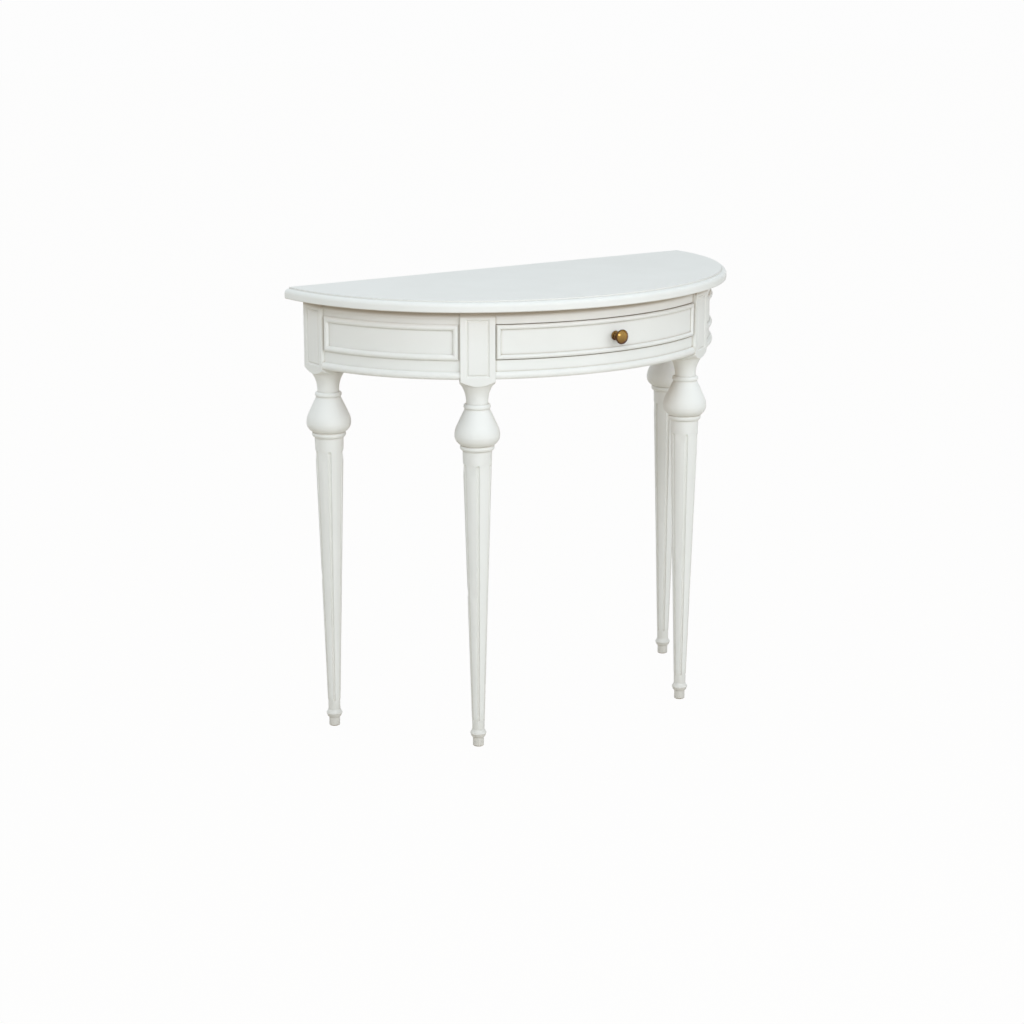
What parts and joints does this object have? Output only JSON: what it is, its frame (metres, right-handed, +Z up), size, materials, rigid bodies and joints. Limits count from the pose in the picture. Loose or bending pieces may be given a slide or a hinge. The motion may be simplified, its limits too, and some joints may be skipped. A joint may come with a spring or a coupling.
{
  "type": "demilune table",
  "caption": "Half-round console table with turned, fluted legs, moulded curved aprons and a bow-fronted drawer with a brass knob.",
  "frame": {"origin": "on the floor, under the middle of the top's bounding box", "axes": "+X to the right seen from the front, +Y to the straight back edge, +Z up"},
  "size_m": [0.86, 0.388, 0.78],
  "materials": {
    "painted_wood": "satin paint",
    "bare_wood": "sanded, unpainted",
    "brass": "aged",
    "steel": "plain"
  },
  "bodies": {
    "table": {"apron_left": "painted_wood", "apron_right": "painted_wood", "back_rail": "painted_wood", "base_bead_front": "painted_wood", "base_bead_left": "painted_wood", "base_bead_right": "painted_wood", "drawer_guide_left": "bare_wood", "drawer_guide_right": "bare_wood", "drawer_kicker_left": "bare_wood", "drawer_kicker_right": "bare_wood", "drawer_runner_left": "bare_wood", "drawer_runner_right": "bare_wood", "drawer_stop_left": "bare_wood", "drawer_stop_right": "bare_wood", "front_lower_rail": "painted_wood", "front_upper_rail": "painted_wood", "glue_block_left_back": "bare_wood", "glue_block_left_front": "bare_wood", "glue_block_right_back": "bare_wood", "glue_block_right_front": "bare_wood", "leg_back_left": "painted_wood", "leg_back_right": "painted_wood", "leg_front_left": "painted_wood", "leg_front_right": "painted_wood", "panel_bead_left_back": "painted_wood", "panel_bead_left_bottom": "painted_wood", "panel_bead_left_front": "painted_wood", "panel_bead_left_top": "painted_wood", "panel_bead_right_back": "painted_wood", "panel_bead_right_bottom": "painted_wood", "panel_bead_right_front": "painted_wood", "panel_bead_right_top": "painted_wood", "table_top": "painted_wood", "top_screws": "steel"},
    "drawer": {"drawer_back": "bare_wood", "drawer_bead_bottom": "painted_wood", "drawer_bead_left": "painted_wood", "drawer_bead_right": "painted_wood", "drawer_bead_top": "painted_wood", "drawer_bottom": "bare_wood", "drawer_front": "painted_wood", "drawer_knob": "brass", "drawer_side_left": "bare_wood", "drawer_side_right": "bare_wood", "knob_screw": "steel"}
  },
  "joints": [
    {"name": "drawer_slide", "type": "slide", "parent": "table", "child": "drawer", "axis": [0, -1, 0], "range_m": [0, 0.2]}
  ]
}
